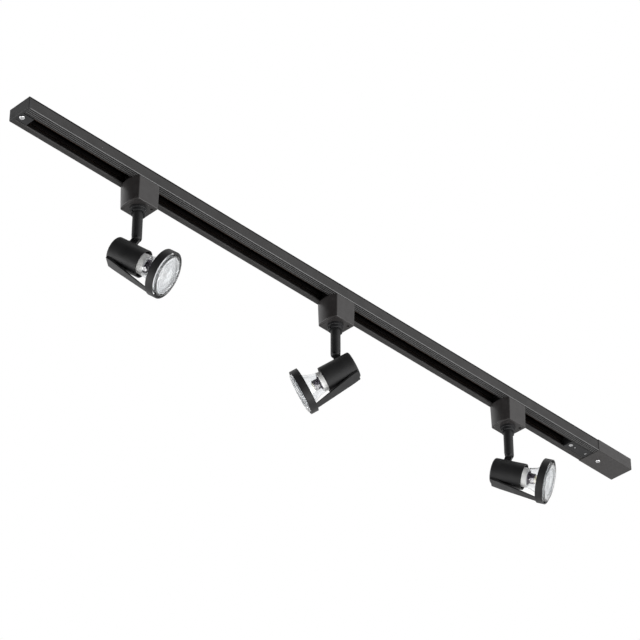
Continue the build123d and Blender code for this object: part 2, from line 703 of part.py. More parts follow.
def lampholder():
    """Ceramic bayonet holder on a stand-off in the barrel, with two keyhole slots."""
    stand_off = 6.5
    body = turned_along(
        [
            (BARREL_REAR + BARREL_WALL, 0),
            (BARREL_REAR + BARREL_WALL, stand_off),
            (HOLDER_REAR, stand_off),
            (HOLDER_REAR, HOLDER_R),
            (HOLDER_FACE, HOLDER_R),
            (HOLDER_FACE, 0),
        ]
    )
    pocket_front = HOLDER_FACE - HOLDER_PLATE
    body -= turned_along(
        [
            (pocket_front - 6, 1.8),
            (pocket_front - 6, 8.2),
            (pocket_front, 8.2),
            (pocket_front, 1.8),
        ]
    )
    for start in (0, 180):
        body -= Pos(pocket_front, 0, 0) * Rot(start, 0, 0) * keyhole()
    return on_barrel_axis(body)


def lamp_base():
    """Insulating base collar with its two bayonet pins."""
    piece = turned_along(
        [
            (LAMP_BASE_REAR, 0),
            (LAMP_BASE_REAR, 10.4),
            (LAMP_BASE_REAR + 1, 11.4),
            (LAMP_BASE_REAR + 6, 12.4),
            (LAMP_SHELL_REAR - 2, 12.9),
            (LAMP_SHELL_REAR, 13.4),
            (LAMP_SHELL_REAR, 0),
        ]
    )
    pin_end = LAMP_BASE_REAR - PIN_LENGTH
    for y in (-PIN_SPACING / 2, PIN_SPACING / 2):
        pin = turned_along(
            [
                (pin_end, 0),
                (pin_end, PIN_HEAD_R),
                (pin_end + PIN_HEAD_LENGTH, PIN_HEAD_R),
                (pin_end + PIN_HEAD_LENGTH, PIN_NECK_R),
                (LAMP_BASE_REAR + 1, PIN_NECK_R),
                (LAMP_BASE_REAR + 1, 0),
            ]
        )
        piece += Pos(0, y, 0) * pin
    return on_barrel_axis(piece)


def lamp_shell():
    """Flared glass body from the base collar to the rim."""
    wall = 1.5
    outer = [
        (LAMP_SHELL_REAR, 13.4),
        (41.0, 15.0),
        (47.0, 17.6),
        (52.5, 20.8),
        (LAMP_RIM - 1.5, 24.2),
        (LAMP_RIM, LAMP_R),
        (LAMP_FACE - 1.0, LAMP_R),
        (LAMP_FACE, LAMP_R - 1.0),
    ]
    inner = [(u, r - wall) for u, r in reversed(outer[1:5])]
    rim = [(LAMP_FACE, LAMP_R - 3.0), (LAMP_FACE - 3.2, LAMP_R - 3.0)]
    return on_barrel_axis(turned_along(outer + rim + inner + [(LAMP_SHELL_REAR, 11.9)]))


def lamp_lens():
    """Front lens: outer step, flat field and a domed centre."""
    edge = LAMP_R - 3.02
    outline = [
        (LAMP_FACE - 3.2, 0),
        (LAMP_FACE - 3.2, edge),
        (LAMP_FACE - 0.6, edge),
        (LAMP_FACE - 0.6, 19.5),
        (LAMP_FACE - 1.4, 18.8),
        (LAMP_FACE - 1.4, 8.8),
        (LAMP_FACE - 0.5, 8.0),
        (LAMP_FACE - 0.1, 4.5),
        (LAMP_FACE, 0),
    ]
    return on_barrel_axis(turned_along(outline))


# ---- the three spotlights, each at its place on the track and its own aim ----
adapter_pieces = {
    "adapter_housing": adapter_housing(),
    "adapter_carrier": adapter_carrier(),
    "adapter_contacts": adapter_contacts(),
    "lock_tab": lock_tab(),
    "swivel_collar": swivel_collar(),
}
stem_pieces = {"stem": stem(), "stem_nut": stem_nut(), "pivot_screw": pivot_screw()}
head_pieces = {
    "knuckle": knuckle(),
    "barrel": barrel(),
    "ring_bracket": ring_bracket(),
    "lampholder": lampholder(),
    "lamp_base": lamp_base(),
    "lamp_shell": lamp_shell(),
    "lamp_lens": lamp_lens(),
}

for number, (x, (pan, tilt)) in enumerate(zip(ADAPTER_XS, AIM), start=1):
    on_track = Pos(x, 0, 0)
    turned = on_track * Rot(0, 0, pan)
    aimed = turned * Pos(0, 0, PIVOT_Z) * Rot(0, tilt, 0)
    for places, pieces in (
        (on_track, adapter_pieces),
        (turned, stem_pieces),
        (aimed, head_pieces),
    ):
        for name, piece in pieces.items():
            save(f"{name}_{number}", places * piece)
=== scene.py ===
# %% [markdown]
# # A track light with three spotlights
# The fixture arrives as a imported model: sixty engineered parts, grouped into bodies that
# slide, pan, tilt and twist.  They are the fixed frame of this scene.  We load them first
# and never move them: we only give them finishes, and put finer pieces where a lathe-plain
# solid would look too simple.

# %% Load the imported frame
import json
import math

import bmesh
import bpy
from mathutils import Matrix, Vector


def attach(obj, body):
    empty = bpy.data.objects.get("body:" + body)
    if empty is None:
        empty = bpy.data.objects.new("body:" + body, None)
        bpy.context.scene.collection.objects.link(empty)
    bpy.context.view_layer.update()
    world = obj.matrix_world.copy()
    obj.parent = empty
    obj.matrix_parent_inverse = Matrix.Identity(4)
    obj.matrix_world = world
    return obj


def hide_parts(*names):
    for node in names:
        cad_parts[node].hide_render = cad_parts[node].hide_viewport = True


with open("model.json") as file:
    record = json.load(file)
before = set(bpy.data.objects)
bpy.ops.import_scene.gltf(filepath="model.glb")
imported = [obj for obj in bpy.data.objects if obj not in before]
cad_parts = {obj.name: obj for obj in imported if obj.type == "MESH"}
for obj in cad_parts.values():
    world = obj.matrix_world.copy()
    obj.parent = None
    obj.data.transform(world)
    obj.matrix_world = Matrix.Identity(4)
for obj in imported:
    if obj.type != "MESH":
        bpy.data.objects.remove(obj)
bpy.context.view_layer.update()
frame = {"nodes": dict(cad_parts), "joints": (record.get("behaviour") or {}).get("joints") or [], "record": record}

MM = 0.001

# %% [markdown]
# ## Camera
# The fixture hangs from a ceiling and is seen from the floor, so the camera looks up.  A long
# lens from well back keeps the metre of track almost parallel, with just a little perspective.
# We place the camera by the direction it looks from and its distance, then turn it with a
# track quaternion, which keeps the picture upright.

# %% Place the camera
VIEW_AZIMUTH = math.radians(-45.2)
VIEW_ELEVATION = math.radians(-35.9)
VIEW_DISTANCE = 3.53
LOOK_AT = Vector((0.010, 0.0225, -0.033))
FOCAL_LENGTH = 159.5
SENSOR_WIDTH = 36.0
FAR_LIMIT = 60.0

back = Vector((
    math.sin(VIEW_AZIMUTH) * math.cos(VIEW_ELEVATION),
    -math.cos(VIEW_AZIMUTH) * math.cos(VIEW_ELEVATION),
    math.sin(VIEW_ELEVATION),
))
camera_data = bpy.data.cameras.new("room_camera")
camera_data.lens = FOCAL_LENGTH
camera_data.sensor_width = SENSOR_WIDTH
camera_data.clip_end = FAR_LIMIT
camera = bpy.data.objects.new("room_camera", camera_data)
bpy.context.scene.collection.objects.link(camera)
camera.location = LOOK_AT + back * VIEW_DISTANCE
camera.rotation_mode = "QUATERNION"
camera.rotation_quaternion = (-back).to_track_quat("-Z", "Y")
bpy.context.scene.camera = camera
print("camera at", [round(v, 3) for v in camera.location])

# %% [markdown]
# ## The floor
# The floor is a plain pale sheet.  It lies far below the fixture, because the camera stands
# under the track and must not come out beneath it.  One grid face is enough for it.

# %% Pale floor
FLOOR_Z = -6.5
FLOOR_SIZE = 24.0


def plain_material(name, colour, roughness):
    """A Principled material with one colour, for the floor only."""
    material = bpy.data.materials.new(name)
    material.use_nodes = True
    surface = material.node_tree.nodes["Principled BSDF"]
    surface.inputs["Base Color"].default_value = (*colour, 1.0)
    surface.inputs["Roughness"].default_value = roughness
    return material


def floor():
    bm = bmesh.new()
    bmesh.ops.create_grid(bm, x_segments=1, y_segments=1, size=FLOOR_SIZE / 2)
    bmesh.ops.translate(bm, vec=(0, 0, FLOOR_Z), verts=bm.verts)
    mesh = bpy.data.meshes.new("studio_floor")
    bm.to_mesh(mesh)
    bm.free()
    sheet = bpy.data.objects.new("studio_floor", mesh)
    bpy.context.scene.collection.objects.link(sheet)
    mesh.materials.append(plain_material("pale_floor", (0.82, 0.82, 0.81), 0.7))


floor()
print("floor", FLOOR_SIZE, "m wide at", FLOOR_Z, "m")

# %% [markdown]
# ## Soft panels
# Black coatings show only what they mirror, so broad lights serve better than bright ones.
# The largest panel stands on the right and lights the near side of the track.  One below lifts
# the undersides, and one at the back draws a pale line along the far edges.

# %% Three soft panels
def soft_panel(name, direction, distance, size, power):
    """A square area light that faces the fixture from one direction."""
    data = bpy.data.lights.new(name, "AREA")
    data.shape = "SQUARE"
    data.size = size
    data.energy = power
    lamp = bpy.data.objects.new(name, data)
    bpy.context.scene.collection.objects.link(lamp)
    toward = Vector(direction).normalized()
    lamp.location = toward * distance
    lamp.rotation_mode = "QUATERNION"
    lamp.rotation_quaternion = (-toward).to_track_quat("-Z", "Y")


soft_panel("panel_right", (0.35, -1.0, -0.25), 3.0, 2.4, 80.0)
soft_panel("panel_below", (-0.1, -0.25, -1.0), 3.2, 1.8, 62.0)
soft_panel("panel_back", (-0.8, 0.7, -0.2), 3.0, 1.6, 50.0)
print("lights", [light.name for light in bpy.data.lights])

# %% [markdown]
# ## The room
# A white room gives every edge a pale outline.  The coatings see it fade to dark on one side,
# so that rounded corners turn black there.  The camera itself always sees it white: a Light
# Path node tells its rays from the ones that the fixture mirrors.

# %% White room with a dark side
ROOM_BRIGHT = 1.0
ROOM_DIM = 0.02
FADE_START = 0.05
FADE_END = 0.8


def white_room(dark_side):
    """World light that fades from bright to dim towards one side of the room."""
    world = bpy.data.worlds.new("white_room")
    bpy.context.scene.world = world
    world.use_nodes = True
    nodes, links = world.node_tree.nodes, world.node_tree.links
    place = nodes.new("ShaderNodeTexCoord")
    towards = nodes.new("ShaderNodeVectorMath")
    towards.operation = "DOT_PRODUCT"
    towards.inputs[1].default_value = Vector(dark_side).normalized()
    fade = nodes.new("ShaderNodeMapRange")
    fade.interpolation_type = "SMOOTHSTEP"
    fade.inputs["From Min"].default_value = FADE_START
    fade.inputs["From Max"].default_value = FADE_END
    fade.inputs["To Min"].default_value = ROOM_BRIGHT
    fade.inputs["To Max"].default_value = ROOM_DIM
    links.new(place.outputs["Generated"], towards.inputs[0])
    links.new(towards.outputs["Value"], fade.inputs["Value"])
    ray = nodes.new("ShaderNodeLightPath")
    seen = nodes.new("ShaderNodeMath")
    seen.operation = "MAXIMUM"
    links.new(fade.outputs["Result"], seen.inputs[0])
    links.new(ray.outputs["Is Camera Ray"], seen.inputs[1])
    links.new(seen.outputs["Value"], nodes["Background"].inputs["Strength"])
    nodes["Background"].inputs["Color"].default_value = (1.0, 1.0, 1.0, 1.0)


white_room(dark_side=(-0.85, -0.32, 0.1))
bpy.context.scene.view_settings.view_transform = "Standard"
print("room strength from", ROOM_BRIGHT, "to", ROOM_DIM)

# %% [markdown]
# ## Shared effects
# Nearly every part here is black, so what tells metal from plastic is the fine relief of the
# surface, how evenly it shines, and where handling has polished it.  Each effect is a node
# group, built once: it reads Object coordinates and gives only masks and heights, and each
# material decides what to do with them.

# %% Helper to build node groups
def effect_group(name, inputs, outputs):
    """An empty node group with float inputs (name, value) and float outputs."""
    group = bpy.data.node_groups.new(name, "ShaderNodeTree")
    for label, value in inputs:
        socket = group.interface.new_socket(label, in_out="INPUT", socket_type="NodeSocketFloat")
        socket.default_value = value
    for label in outputs:
        group.interface.new_socket(label, in_out="OUTPUT", socket_type="NodeSocketFloat")
    entry = group.nodes.new("NodeGroupInput")
    leave = group.nodes.new("NodeGroupOutput")
    return group, entry, leave


def noise(tree, scale, detail=2.0, roughness=0.5, vector=None):
    """A noise texture on Object coordinates, or on a vector that is given."""
    node = tree.nodes.new("ShaderNodeTexNoise")
    node.inputs["Detail"].default_value = detail
    node.inputs["Roughness"].default_value = roughness
    if vector is None:
        vector = tree.nodes.new("ShaderNodeTexCoord").outputs["Object"]
    tree.links.new(vector, node.inputs["Vector"])
    tree.links.new(scale, node.inputs["Scale"])
    return node


def ramp(tree, value, low, high, out_low=0.0, out_high=1.0):
    """Map one range of a value to another, smoothly and clamped."""
    node = tree.nodes.new("ShaderNodeMapRange")
    node.interpolation_type = "SMOOTHSTEP"
    node.inputs["From Min"].default_value = low
    node.inputs["From Max"].default_value = high
    node.inputs["To Min"].default_value = out_low
    node.inputs["To Max"].default_value = out_high
    tree.links.new(value, node.inputs["Value"])
    return node.outputs["Result"]


def maths(tree, operation, first, second=None, number=None):
    """One Math node on a varying value and a second value or a number."""
    node = tree.nodes.new("ShaderNodeMath")
    node.operation = operation
    tree.links.new(first, node.inputs[0])
    if second is not None:
        tree.links.new(second, node.inputs[1])
    if number is not None:
        node.inputs[1].default_value = number
    return node.outputs["Value"]


print("node helpers ready")

# %% [markdown]
# **Coat grain.**  Powder coat melts into tiny hills, like the skin of an orange.  Two sizes of
# noise added together give the hills and the finer speckle between them.  Moulded plastic uses
# the same group at a smaller size, because a spark-eroded mould leaves a similar relief.

# %% Coat grain group
def build_coat_grain():
    group, entry, leave = effect_group(
        "coat_grain", (("Scale", 900.0), ("Speckle", 0.4)), ("Height", "Tone")
    )
    hills = noise(group, entry.outputs["Scale"], detail=1.0)
    fine_scale = maths(group, "MULTIPLY", entry.outputs["Scale"], number=3.1)
    fine = noise(group, fine_scale, detail=2.0, roughness=0.6)
    speckle = maths(group, "MULTIPLY", fine.outputs["Fac"], entry.outputs["Speckle"])
    height = maths(group, "ADD", hills.outputs["Fac"], speckle)
    slow_scale = maths(group, "MULTIPLY", entry.outputs["Scale"], number=0.05)
    slow = noise(group, slow_scale, detail=3.0)
    group.links.new(height, leave.inputs["Height"])
    group.links.new(ramp(group, slow.outputs["Fac"], 0.3, 0.7), leave.inputs["Tone"])
    return group


COAT_GRAIN = build_coat_grain()
print("group", COAT_GRAIN.name)

# %% [markdown]
# **Handling marks.**  Spotlights are aimed by hand, and fingers leave faint, soft-edged
# patches that shine a little more.  A slow noise bends the coordinates of a second one, so the
# patches look smeared instead of round.

# %% Handling marks group
def build_handling_marks():
    group, entry, leave = effect_group(
        "handling_marks", (("Scale", 30.0), ("Cover", 0.5)), ("Smear",)
    )
    place = group.nodes.new("ShaderNodeTexCoord")
    bend = noise(group, entry.outputs["Scale"], detail=1.0)
    shift = group.nodes.new("ShaderNodeVectorMath")
    shift.operation = "MULTIPLY_ADD"
    shift.inputs[1].default_value = (0.03, 0.05, 0.03)
    group.links.new(bend.outputs["Color"], shift.inputs[0])
    group.links.new(place.outputs["Object"], shift.inputs[2])
    patches = noise(
        group, entry.outputs["Scale"], detail=4.0, roughness=0.65, vector=shift.outputs["Vector"]
    )
    patch = ramp(group, patches.outputs["Fac"], 0.42, 0.68)
    group.links.new(maths(group, "MULTIPLY", patch, entry.outputs["Cover"]), leave.inputs["Smear"])
    return group


HANDLING_MARKS = build_handling_marks()
print("group", HANDLING_MARKS.name)

# %% [markdown]
# **Edge wear.**  Edges lose their coat first.  A Bevel node looks a little way around each
# point and gives a rounded normal: where that differs from the true one there is an edge.  A
# broken noise keeps the wear from running along the edge as a neat line.

# %% Edge wear group
def build_edge_wear():
    group, entry, leave = effect_group(
        "edge_wear", (("Width", 0.0005), ("Break Up", 400.0)), ("Wear",)
    )
    rounded = group.nodes.new("ShaderNodeBevel")
    rounded.samples = 4
    group.links.new(entry.outputs["Width"], rounded.inputs["Radius"])
    true_normal = group.nodes.new("ShaderNodeNewGeometry")
    agree = group.nodes.new("ShaderNodeVectorMath")
    agree.operation = "DOT_PRODUCT"
    group.links.new(rounded.outputs["Normal"], agree.inputs[0])
    group.links.new(true_normal.outputs["Normal"], agree.inputs[1])
    edge = ramp(group, agree.outputs["Value"], 0.985, 0.80)
    chips = noise(group, entry.outputs["Break Up"], detail=3.0, roughness=0.6)
    broken = ramp(group, chips.outputs["Fac"], 0.40, 0.62)
    group.links.new(maths(group, "MULTIPLY", edge, broken), leave.inputs["Wear"])
    return group


EDGE_WEAR = build_edge_wear()
print("group", EDGE_WEAR.name)

# %% [markdown]
# **Draw lines.**  Extruded aluminium and drawn strip leave the die with faint lines along
# their length.  The noise is stretched along X, the way the track was pushed through the die.

# %% Draw lines group
def build_draw_lines():
    group, entry, leave = effect_group("draw_lines", (("Scale", 500.0),), ("Lines",))
    place = group.nodes.new("ShaderNodeTexCoord")
    stretch = group.nodes.new("ShaderNodeVectorMath")
    stretch.operation = "MULTIPLY"
    stretch.inputs[1].default_value = (0.012, 1.0, 1.0)
    group.links.new(place.outputs["Object"], stretch.inputs[0])
    lines = noise(group, entry.outputs["Scale"], detail=2.0, vector=stretch.outputs["Vector"])
    group.links.new(lines.outputs["Fac"], leave.inputs["Lines"])
    return group


DRAW_LINES = build_draw_lines()
print("group", DRAW_LINES.name)

# %% [markdown]
# ** Painted ridge light.** The wider lip of the track has three grooves along it. Their shade is
# painted dark into the colour, and the light that their sides catch is painted as pale lines.
# The masks come from Y on the underside.  The same group paints shade on the narrow strip where
# the track meets the ceiling, which the room's light hardly reaches.  Each pair of numbers is
# where a mask starts and where it is full, in metres.

# %% Painted groove shade and ridge highlight group
LIP_FACE = (-0.0161, -0.0165)
NEAR_LIP = (-0.0064, -0.0070)
CEILING_SHADE_STRIP = (-0.0030, -0.0018)


def build_ridge_painted_light():
    group, entry, leave = effect_group("ridge_painted_light", (("Pitch", 0.0027),), ("Painted Groove Shade", "Painted Ridge Highlight"))
    place = group.nodes.new("ShaderNodeTexCoord")
    apart = group.nodes.new("ShaderNodeSeparateXYZ")
    group.links.new(place.outputs["Object"], apart.inputs["Vector"])
    across, height = apart.outputs["Y"], apart.outputs["Z"]
    wave = maths(group, "FRACT", maths(group, "DIVIDE", across, entry.outputs["Pitch"]))
    under = ramp(group, height, *LIP_FACE)
    near = ramp(group, across, *NEAR_LIP)
    lip = maths(group, "MULTIPLY", under, near)
    # Painted shade in each groove and painted highlight on each ridge, repeated at the pitch.
    groove_shade = maths(group, "MULTIPLY", ramp(group, wave, 0.06, 0.12), ramp(group, wave, 0.46, 0.40))
    ridge_highlight = maths(group, "MULTIPLY", ramp(group, wave, 0.46, 0.52), ramp(group, wave, 0.68, 0.60))
    # Painted shade along the strip where the track meets the ceiling.
    ceiling = ramp(group, height, *CEILING_SHADE_STRIP)
    dark = maths(group, "MAXIMUM", maths(group, "MULTIPLY", groove_shade, lip), ceiling)
    group.links.new(dark, leave.inputs["Painted Groove Shade"])
    group.links.new(maths(group, "MULTIPLY", ridge_highlight, lip), leave.inputs["Painted Ridge Highlight"])
    return group


RIDGE_PAINTED_LIGHT = build_ridge_painted_light()
print("group", RIDGE_PAINTED_LIGHT.name)

# %% [markdown]
# ## Finishes
# One small recipe makes them all: a base colour that drifts slightly, a roughness that smears
# lower, fine relief through a Bump node, and worn edges that show what lies under the coat.
# Every number that is the same over the whole surface is typed into the shader itself.

# %% Small helpers for a material's nodes
def use_group(tree, group, **values):
    node = tree.nodes.new("ShaderNodeGroup")
    node.node_tree = group
    for label, value in values.items():
        node.inputs[label.replace("_", " ")].default_value = value
    return node


def blend_colour(tree, mask, first, second):
    """Mix of two colours by a mask; either may be a socket or a plain colour."""
    mix = tree.nodes.new("ShaderNodeMix")
    mix.data_type = "RGBA"
    tree.links.new(mask, mix.inputs["Factor"])
    for colour, label in ((first, "A"), (second, "B")):
        socket = [s for s in mix.inputs if s.name == label and s.type == "RGBA"][0]
        if isinstance(colour, tuple):
            socket.default_value = (*colour, 1.0)
        else:
            tree.links.new(colour, socket)
    return [s for s in mix.outputs if s.type == "RGBA"][0]


def new_finish(name, **sockets):
    """A material whose shader has these plain socket values, and its node tree."""
    material = bpy.data.materials.new(name)
    material.use_nodes = True
    tree = material.node_tree
    shader = tree.nodes["Principled BSDF"]
    for label, value in sockets.items():
        shader.inputs[label.replace("_", " ")].default_value = value
    return material, tree, shader


def add_relief(tree, shader, height, distance, strength):
    bump = tree.nodes.new("ShaderNodeBump")
    bump.inputs["Distance"].default_value = distance
    bump.inputs["Strength"].default_value = strength
    tree.links.new(height, bump.inputs["Height"])
    tree.links.new(bump.outputs["Normal"], shader.inputs["Normal"])


print("material helpers ready")

# %% [markdown]
# ** Coated surfaces.** Powder coat and moulded plastic share one recipe, and differ in its
# numbers.  On the track the recipe also paints shade and highlight: the die's grooves and the
# ceiling strip take a near-black metal value, which mirrors almost nothing, so they read as
# shadow, and pale lines beside them are a painted highlight.

# %% Coated recipe
# Painted shade for the track's grooves and ceiling strip, painted highlight for its ridges.
GROOVE_PAINTED_SHADE = (0.002, 0.002, 0.002)
RIDGE_PAINTED_HIGHLIGHT = (0.15, 0.15, 0.152)


def coated(name, colour, drift, bare, roughness, grain, relief, wear_width=0.0005,
           lines=0.0, smear=0.12, paint_ridge_light=False, **sockets):
    """Coated metal or moulded plastic: grain, drift, smears and worn edges; on request, painted groove shade and
    ridge highlights.
    """
    material, tree, shader = new_finish(name, **sockets)
    surface = use_group(tree, COAT_GRAIN, Scale=grain)
    worn = use_group(tree, EDGE_WEAR, Width=wear_width)
    marks = use_group(tree, HANDLING_MARKS)
    body = blend_colour(tree, surface.outputs["Tone"], colour, drift)
    body = blend_colour(tree, worn.outputs["Wear"], body, bare)
    # Painted shade in the grooves and ceiling strip, also as Metallic so it mirrors almost nothing, and painted
    # highlight on the ridges.
    if paint_ridge_light:
        ridge_light = use_group(tree, RIDGE_PAINTED_LIGHT)
        body = blend_colour(tree, ridge_light.outputs["Painted Groove Shade"], body, GROOVE_PAINTED_SHADE)
        body = blend_colour(tree, ridge_light.outputs["Painted Ridge Highlight"], body, RIDGE_PAINTED_HIGHLIGHT)
        tree.links.new(ridge_light.outputs["Painted Groove Shade"], shader.inputs["Metallic"])
    tree.links.new(body, shader.inputs["Base Color"])
    shine = ramp(tree, marks.outputs["Smear"], 0.0, 0.5, roughness, roughness - smear)
    tree.links.new(shine, shader.inputs["Roughness"])
    height = surface.outputs["Height"]
    if lines:
        drawn = use_group(tree, DRAW_LINES)
        fine = maths(tree, "MULTIPLY", drawn.outputs["Lines"], number=lines)
        height = maths(tree, "ADD", height, fine)
    add_relief(tree, shader, height, relief, 1.0)
    return material


print("coated recipe ready")

# %% [markdown]
# **Bright metal.**  Screws are plated and conductors are drawn, so they keep fine lines and go
# dull in patches where they were handled.

# %% Bright metal recipe
def bright_metal(name, colour, dull, roughness):
    """Plated or drawn metal with fine lines, dulled in patches."""
    material, tree, shader = new_finish(name, Metallic=1.0)
    drawn = use_group(tree, DRAW_LINES, Scale=900.0)
    marks = use_group(tree, HANDLING_MARKS, Scale=120.0)
    tone = blend_colour(tree, marks.outputs["Smear"], colour, dull)
    tree.links.new(tone, shader.inputs["Base Color"])
    shine = ramp(tree, marks.outputs["Smear"], 0.0, 0.5, roughness, roughness + 0.15)
    tree.links.new(shine, shader.inputs["Roughness"])
    add_relief(tree, shader, drawn.outputs["Lines"], 0.00003, 0.6)
    return material


print("bright metal recipe ready")

# %% [markdown]
# **The finishes.**  There is one for each material slot of the record, under the same name.
# The three colours are the body, what it drifts to, and what shows where the edge is worn.

# %% Make the finishes
FINISHES = {
    # The track's finish also paints shade in its grooves and along its ceiling strip, and highlight on its ridges.
    "coated_track": coated(
        "coated_track", (0.015, 0.014, 0.014), (0.020, 0.019, 0.019), (0.09, 0.09, 0.09),
        roughness=0.46, grain=1500.0, relief=0.00004, wear_width=0.0004, lines=1.6,
        paint_ridge_light=True, Specular_IOR_Level=0.3,
    ),
    "coated_metal": coated(
        "coated_metal", (0.011, 0.011, 0.0115), (0.014, 0.014, 0.0145), (0.03, 0.03, 0.03),
        roughness=0.52, grain=1300.0, relief=0.00003, Specular_IOR_Level=0.28,
    ),
    "insulator": coated(
        "insulator", (0.004, 0.003, 0.003), (0.006, 0.005, 0.005), (0.01, 0.01, 0.01),
        roughness=0.7, grain=1100.0, relief=0.00003, lines=1.2, Specular_IOR_Level=0.15,
    ),
    "black_plastic": coated(
        "black_plastic", (0.008, 0.008, 0.009), (0.011, 0.011, 0.012), (0.03, 0.03, 0.03),
        roughness=0.55, grain=2200.0, relief=0.00003, Specular_IOR_Level=0.36,
    ),
    "adapter_plastic": coated(
        "adapter_plastic", (0.022, 0.020, 0.020), (0.028, 0.026, 0.026), (0.06, 0.06, 0.06),
        roughness=0.36, grain=2600.0, relief=0.00002, smear=0.08, Specular_IOR_Level=0.42,
    ),
    "copper": bright_metal("copper", (0.11, 0.07, 0.05), (0.06, 0.04, 0.03), 0.5),
    "brass_screw": bright_metal("brass_screw", (0.78, 0.62, 0.32), (0.5, 0.38, 0.2), 0.3),
    "zinc_screw": bright_metal("zinc_screw", (0.80, 0.80, 0.81), (0.55, 0.55, 0.56), 0.22),
    "dark_screw": coated(
        "dark_screw", (0.02, 0.02, 0.021), (0.028, 0.028, 0.03), (0.12, 0.12, 0.12),
        roughness=0.4, grain=3000.0, relief=0.00002, Metallic=0.6,
    ),
    "ceramic": coated(
        "ceramic", (0.80, 0.78, 0.73), (0.72, 0.70, 0.65), (0.62, 0.60, 0.55),
        roughness=0.55, grain=1800.0, relief=0.00003,
    ),
    "lamp_base_white": coated(
        "lamp_base_white", (0.96, 0.96, 0.95), (0.93, 0.93, 0.92), (0.86, 0.86, 0.85),
        roughness=0.42, grain=2400.0, relief=0.00002,
    ),
}
print("finishes", sorted(FINISHES))

# %% [markdown]
# ## Lamp glass
# Real lamp glass is never perfectly clean: pressing leaves a slow ripple.  Glass keeps plain
# numbers for Metallic and Transmission, so only its colour, roughness and normal vary.

# %% Glass finishes
def glass(name, colour, drift, roughness, ripple, **sockets):
    material, tree, shader = new_finish(name, Metallic=0.0, IOR=1.49, **sockets)
    surface = use_group(tree, COAT_GRAIN, Scale=260.0, Speckle=0.1)
    tone = blend_colour(tree, surface.outputs["Tone"], colour, drift)
    tree.links.new(tone, shader.inputs["Base Color"])
    tree.links.new(
        ramp(tree, surface.outputs["Tone"], 0.0, 1.0, roughness, roughness + 0.04),
        shader.inputs["Roughness"],
    )
    add_relief(tree, shader, surface.outputs["Height"], ripple, 0.6)
    return material


FINISHES["lamp_glass"] = glass(
    "lamp_glass", (0.99, 0.99, 0.99), (0.96, 0.97, 0.98), 0.06, 0.00003,
    Transmission_Weight=1.0,
)
FINISHES["lamp_lens_clear"] = glass(
    "lamp_lens_clear", (0.90, 0.91, 0.91), (0.74, 0.76, 0.78), 0.10, 0.00020,
    Transmission_Weight=0.74,
)
LED_FINISH = coated(
    "led_module", (0.085, 0.070, 0.095), (0.120, 0.100, 0.130), (0.20, 0.18, 0.22),
    roughness=0.4, grain=1500.0, relief=0.00003,
)
PHOSPHOR_FINISH = coated(
    "phosphor", (0.84, 0.80, 0.62), (0.78, 0.73, 0.52), (0.86, 0.83, 0.70),
    roughness=0.6, grain=2600.0, relief=0.00003,
)
print("finishes now", len(FINISHES) + 2)

# %% [markdown]
# ## Dressing the parts
# The record says which slot each engineered part takes its finish from.  Only the material of
# a part changes here, never its mesh or its place.

# %% Give every engineered part its finish
def dress_cad_nodes():
    slots = {entry["node"]: entry["material_slot"] for entry in frame["record"]["subparts"]}
    for name, node in frame["nodes"].items():
        node.data.materials.clear()
        node.data.materials.append(FINISHES[slots[name]])
    return len(slots)


print("dressed", dress_cad_nodes(), "parts")

# %% [markdown]
# ## Working on a lamp's own axis
# A lamp is turned about its own axis, so each of its pieces is drawn along X from the point
# under the tilt pin, and then carried to its spotlight.  The joints of the frame say where
# that is: the twist joint gives the axis and its point, the tilt joint the sideways direction.

# %% Where each lamp is
JOINTS = {joint["name"]: joint for joint in frame["joints"]}
HEADS = (1, 2, 3)


def lamp_place(number):
    """Matrix from lamp drawing space, aim along X, to spotlight number's place."""
    twist = JOINTS[f"lamp_twist_{number}"]
    aim = Vector(twist["axis"]).normalized()
    across = Vector(JOINTS[f"tilt_{number}"]["axis"]).normalized()
    up = aim.cross(across)
    turn = Matrix((aim, across, up)).transposed().to_4x4()
    return Matrix.Translation(Vector(twist["pos_m"])) @ turn


print("lamps at", [[round(v, 3) for v in lamp_place(n).translation] for n in HEADS])

# %% [markdown]
# ## The lathe
# Every piece of a lamp is round, so one helper turns them all: it takes an outline, closes it,
# and spins it about X.  The seam and the poles are merged before the normals are made to point
# outwards.  A second helper carries the piece to its spotlight and lets it ride there.

# %% Lathe and keep
SEAM_GAP = 1e-6


def lathe(profile, steps):
    """Spin a closed (along, radius) outline about X into a bmesh."""
    bm = bmesh.new()
    points = [bm.verts.new((along, 0.0, radius)) for along, radius in profile]
    edges = [bm.edges.new(pair) for pair in zip(points, points[1:] + points[:1])]
    bmesh.ops.spin(
        bm, geom=points + edges, cent=(0, 0, 0), axis=(1, 0, 0),
        angle=math.tau, steps=steps, use_merge=True,
    )
    bmesh.ops.remove_doubles(bm, verts=bm.verts, dist=SEAM_GAP)
    bmesh.ops.recalc_face_normals(bm, faces=bm.faces)
    return bm


def keep(bm, name, material, body, place, sharp=35.0):
    """Turn a bmesh into a finished piece that rides on a body."""
    bmesh.ops.transform(bm, matrix=place, verts=bm.verts)
    mesh = bpy.data.meshes.new(name)
    bm.to_mesh(mesh)
    bm.free()
    mesh.shade_smooth()
    mesh.set_sharp_from_angle(angle=math.radians(sharp))
    mesh.materials.append(material)
    piece = bpy.data.objects.new(name, mesh)
    bpy.context.scene.collection.objects.link(piece)
    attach(piece, body)
    return piece


print("lathe ready")

# %% [markdown]
# ## The lamp's own sizes
# The new pieces take their sizes from the engineered ones that they stand for, measured along
# and about the lamp's axis, so the two always agree.

# %% Measure the engineered lamp
def span_along(node, number):
    """Where a node starts and ends along its lamp's axis."""
    inverse = lamp_place(number).inverted()
    reach = [(inverse @ vertex.co).x for vertex in frame["nodes"][node].data.vertices]
    return min(reach), max(reach)


